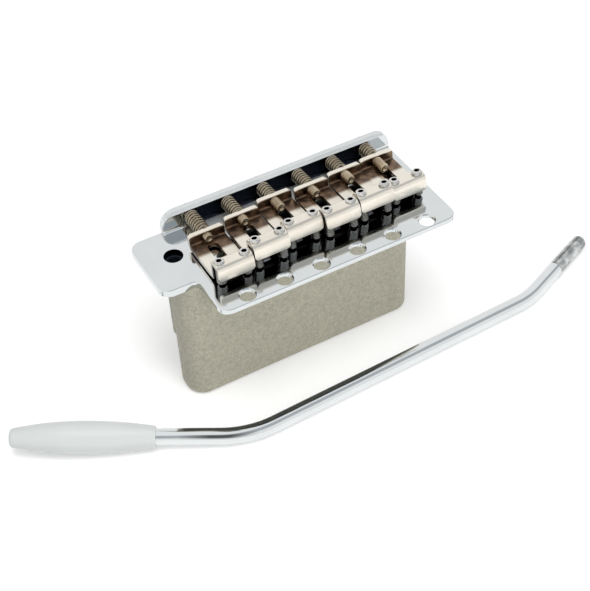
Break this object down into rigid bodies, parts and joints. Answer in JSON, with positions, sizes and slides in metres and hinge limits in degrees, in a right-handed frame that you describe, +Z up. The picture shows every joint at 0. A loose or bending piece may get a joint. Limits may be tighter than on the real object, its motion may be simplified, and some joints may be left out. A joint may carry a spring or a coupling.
{
  "type": "guitar tremolo bridge",
  "caption": "Guitar tremolo bridge: chrome plate with bent-sheet saddles on springs and screws, a cast block below, and a bent arm with a white tip lying beside it.",
  "frame": {"origin": "middle of the pivot-hole row, on the plate's top face", "axes": "+X along the pivot row, away from the arm hole; +Y from the pivot row to the rear lip; +Z up, out of the guitar's top"},
  "size_m": [0.1876, 0.0515, 0.0534],
  "materials": {
    "chrome": "polished chrome plating",
    "cast": "matt warm grey with a fine sand texture",
    "nickel": "polished warm nickel plating",
    "spring_steel": "bright bronze-toned wire",
    "screw_steel": "machined steel",
    "tip_plastic": "glossy white"
  },
  "bodies": {
    "base": {"base_plate": "chrome", "tremolo_block": "cast", "block_screws": "screw_steel"},
    "spring_1": {"intonation_spring_1": "spring_steel"},
    "screw_1": {"intonation_screw_1": "nickel"},
    "saddle_1": {"saddle_1": "nickel"},
    "height_screw_1_left": {"height_screw_1_left": "screw_steel"},
    "height_screw_1_right": {"height_screw_1_right": "screw_steel"},
    "spring_2": {"intonation_spring_2": "spring_steel"},
    "screw_2": {"intonation_screw_2": "nickel"},
    "saddle_2": {"saddle_2": "nickel"},
    "height_screw_2_left": {"height_screw_2_left": "screw_steel"},
    "height_screw_2_right": {"height_screw_2_right": "screw_steel"},
    "spring_3": {"intonation_spring_3": "spring_steel"},
    "screw_3": {"intonation_screw_3": "nickel"},
    "saddle_3": {"saddle_3": "nickel"},
    "height_screw_3_left": {"height_screw_3_left": "screw_steel"},
    "height_screw_3_right": {"height_screw_3_right": "screw_steel"},
    "spring_4": {"intonation_spring_4": "spring_steel"},
    "screw_4": {"intonation_screw_4": "nickel"},
    "saddle_4": {"saddle_4": "nickel"},
    "height_screw_4_left": {"height_screw_4_left": "screw_steel"},
    "height_screw_4_right": {"height_screw_4_right": "screw_steel"},
    "spring_5": {"intonation_spring_5": "spring_steel"},
    "screw_5": {"intonation_screw_5": "nickel"},
    "saddle_5": {"saddle_5": "nickel"},
    "height_screw_5_left": {"height_screw_5_left": "screw_steel"},
    "height_screw_5_right": {"height_screw_5_right": "screw_steel"},
    "spring_6": {"intonation_spring_6": "spring_steel"},
    "screw_6": {"intonation_screw_6": "nickel"},
    "saddle_6": {"saddle_6": "nickel"},
    "height_screw_6_left": {"height_screw_6_left": "screw_steel"},
    "height_screw_6_right": {"height_screw_6_right": "screw_steel"},
    "arm": {"tremolo_arm": "chrome", "arm_tip": "tip_plastic"}
  },
  "joints": [
    {"name": "saddle_1_lift", "type": "hinge", "parent": "base", "child": "spring_1", "pos_m": [-0.02818, 0.0348, 0.0029], "axis": [-1, 0, 0], "range_deg": [-0.8, 4.7]},
    {"name": "intonation_screw_1_turn", "type": "hinge", "parent": "spring_1", "child": "screw_1", "pos_m": [-0.02818, 0.0348, 0.0029], "axis": [0, 0.9999, -0.014], "range_deg": [-1587.9, 737.51]},
    {"name": "saddle_1_slide", "type": "slide", "parent": "spring_1", "child": "saddle_1", "axis": [0, 0.9999, -0.014], "range_m": [-0.0013, 0.0028], "deforming": ["intonation_spring_1"]},
    {"name": "height_screw_1_left_drive", "type": "slide", "parent": "saddle_1", "child": "height_screw_1_left", "axis": [0, -0.1271, -0.9919], "range_m": [-0.00039, 0.0023]},
    {"name": "height_screw_1_right_drive", "type": "slide", "parent": "saddle_1", "child": "height_screw_1_right", "axis": [0, -0.1271, -0.9919], "range_m": [-0.00039, 0.0023]},
    {"name": "saddle_2_lift", "type": "hinge", "parent": "base", "child": "spring_2", "pos_m": [-0.01691, 0.0348, 0.0029], "axis": [-1, 0, 0], "range_deg": [-4, 1.5]},
    {"name": "intonation_screw_2_turn", "type": "hinge", "parent": "spring_2", "child": "screw_2", "pos_m": [-0.01691, 0.0348, 0.0029], "axis": [0, 0.9976, -0.0698], "range_deg": [-1587.9, 1154.77]},
    {"name": "saddle_2_slide", "type": "slide", "parent": "spring_2", "child": "saddle_2", "axis": [0, 0.9976, -0.0698], "range_m": [-0.00204, 0.0028], "deforming": ["intonation_spring_2"]},
    {"name": "height_screw_2_left_drive", "type": "slide", "parent": "saddle_2", "child": "height_screw_2_left", "axis": [0, -0.1822, -0.9833], "range_m": [-0.0019, 0.00071]},
    {"name": "height_screw_2_right_drive", "type": "slide", "parent": "saddle_2", "child": "height_screw_2_right", "axis": [0, -0.1822, -0.9833], "range_m": [-0.0019, 0.00071]},
    {"name": "saddle_3_lift", "type": "hinge", "parent": "base", "child": "spring_3", "pos_m": [-0.00564, 0.0348, 0.0029], "axis": [-1, 0, 0], "range_deg": [-3.9, 1.6]},
    {"name": "intonation_screw_3_turn", "type": "hinge", "parent": "spring_3", "child": "screw_3", "pos_m": [-0.00564, 0.0348, 0.0029], "axis": [0, 0.9977, -0.068], "range_deg": [-812.34, 2250.07]},
    {"name": "saddle_3_slide", "type": "slide", "parent": "spring_3", "child": "saddle_3", "axis": [0, 0.9977, -0.068], "range_m": [-0.00397, 0.00143], "deforming": ["intonation_spring_3"]},
    {"name": "height_screw_3_left_drive", "type": "slide", "parent": "saddle_3", "child": "height_screw_3_left", "axis": [0, -0.1805, -0.9836], "range_m": [-0.00172, 0.00071]},
    {"name": "height_screw_3_right_drive", "type": "slide", "parent": "saddle_3", "child": "height_screw_3_right", "axis": [0, -0.1805, -0.9836], "range_m": [-0.00172, 0.00071]},
    {"name": "saddle_4_lift", "type": "hinge", "parent": "base", "child": "spring_4", "pos_m": [0.00564, 0.0348, 0.0029], "axis": [-1, 0, 0], "range_deg": [-3.7, 1.8]},
    {"name": "intonation_screw_4_turn", "type": "hinge", "parent": "spring_4", "child": "screw_4", "pos_m": [0.00564, 0.0348, 0.0029], "axis": [0, 0.9979, -0.0645], "range_deg": [-1490.39, 1572.03]},
    {"name": "saddle_4_slide", "type": "slide", "parent": "spring_4", "child": "saddle_4", "axis": [0, 0.9979, -0.0645], "range_m": [-0.00277, 0.00263], "deforming": ["intonation_spring_4"]},
    {"name": "height_screw_4_left_drive", "type": "slide", "parent": "saddle_4", "child": "height_screw_4_left", "axis": [0, -0.1771, -0.9842], "range_m": [-0.00171, 0.00083]},
    {"name": "height_screw_4_right_drive", "type": "slide", "parent": "saddle_4", "child": "height_screw_4_right", "axis": [0, -0.1771, -0.9842], "range_m": [-0.00171, 0.00083]},
    {"name": "saddle_5_lift", "type": "hinge", "parent": "base", "child": "spring_5", "pos_m": [0.01691, 0.0348, 0.0029], "axis": [-1, 0, 0], "range_deg": [-4.5, 1]},
    {"name": "intonation_screw_5_turn", "type": "hinge", "parent": "spring_5", "child": "screw_5", "pos_m": [0.01691, 0.0348, 0.0029], "axis": [0, 0.9969, -0.0785], "range_deg": [-1125.29, 1937.13]},
    {"name": "saddle_5_slide", "type": "slide", "parent": "spring_5", "child": "saddle_5", "axis": [0, 0.9969, -0.0785], "range_m": [-0.00342, 0.00198], "deforming": ["intonation_spring_5"]},
    {"name": "height_screw_5_left_drive", "type": "slide", "parent": "saddle_5", "child": "height_screw_5_left", "axis": [0, -0.1908, -0.9816], "range_m": [-0.00203, 0.00045]},
    {"name": "height_screw_5_right_drive", "type": "slide", "parent": "saddle_5", "child": "height_screw_5_right", "axis": [0, -0.1908, -0.9816], "range_m": [-0.00203, 0.00045]},
    {"name": "saddle_6_lift", "type": "hinge", "parent": "base", "child": "spring_6", "pos_m": [0.02818, 0.0348, 0.0029], "axis": [-1, 0, 0], "range_deg": [-1.4, 4.1]},
    {"name": "intonation_screw_6_turn", "type": "hinge", "parent": "spring_6", "child": "screw_6", "pos_m": [0.02818, 0.0348, 0.0029], "axis": [0, 0.9997, -0.0244], "range_deg": [-499.4, 2563.02]},
    {"name": "saddle_6_slide", "type": "slide", "parent": "spring_6", "child": "saddle_6", "axis": [0, 0.9997, -0.0244], "range_m": [-0.00452, 0.00088], "deforming": ["intonation_spring_6"]},
    {"name": "height_screw_6_left_drive", "type": "slide", "parent": "saddle_6", "child": "height_screw_6_left", "axis": [0, -0.1374, -0.9905], "range_m": [-0.00061, 0.00177]},
    {"name": "height_screw_6_right_drive", "type": "slide", "parent": "saddle_6", "child": "height_screw_6_right", "axis": [0, -0.1374, -0.9905], "range_m": [-0.00061, 0.00177]},
    {"name": "arm_lift_off", "type": "slide", "parent": "base", "child": "arm", "axis": [0, 0, 1], "range_m": [0, 0.1]}
  ],
  "couplings": [
    {"joint": "intonation_screw_1_turn", "follows": "saddle_1_slide", "rad_per_m": -9894.8},
    {"joint": "height_screw_1_left_drive", "follows": "saddle_1_lift", "m_per_rad": 0.027999},
    {"joint": "height_screw_1_right_drive", "follows": "saddle_1_lift", "m_per_rad": 0.027999},
    {"joint": "intonation_screw_2_turn", "follows": "saddle_2_slide", "rad_per_m": -9894.8},
    {"joint": "height_screw_2_left_drive", "follows": "saddle_2_lift", "m_per_rad": 0.027258},
    {"joint": "height_screw_2_right_drive", "follows": "saddle_2_lift", "m_per_rad": 0.027258},
    {"joint": "intonation_screw_3_turn", "follows": "saddle_3_slide", "rad_per_m": -9894.8},
    {"joint": "height_screw_3_left_drive", "follows": "saddle_3_lift", "m_per_rad": 0.025314},
    {"joint": "height_screw_3_right_drive", "follows": "saddle_3_lift", "m_per_rad": 0.025314},
    {"joint": "intonation_screw_4_turn", "follows": "saddle_4_slide", "rad_per_m": -9894.8},
    {"joint": "height_screw_4_left_drive", "follows": "saddle_4_lift", "m_per_rad": 0.026517},
    {"joint": "height_screw_4_right_drive", "follows": "saddle_4_lift", "m_per_rad": 0.026517},
    {"joint": "intonation_screw_5_turn", "follows": "saddle_5_slide", "rad_per_m": -9894.8},
    {"joint": "height_screw_5_left_drive", "follows": "saddle_5_lift", "m_per_rad": 0.025869},
    {"joint": "height_screw_5_right_drive", "follows": "saddle_5_lift", "m_per_rad": 0.025869},
    {"joint": "intonation_screw_6_turn", "follows": "saddle_6_slide", "rad_per_m": -9894.8},
    {"joint": "height_screw_6_left_drive", "follows": "saddle_6_lift", "m_per_rad": 0.024758},
    {"joint": "height_screw_6_right_drive", "follows": "saddle_6_lift", "m_per_rad": 0.024758}
  ]
}
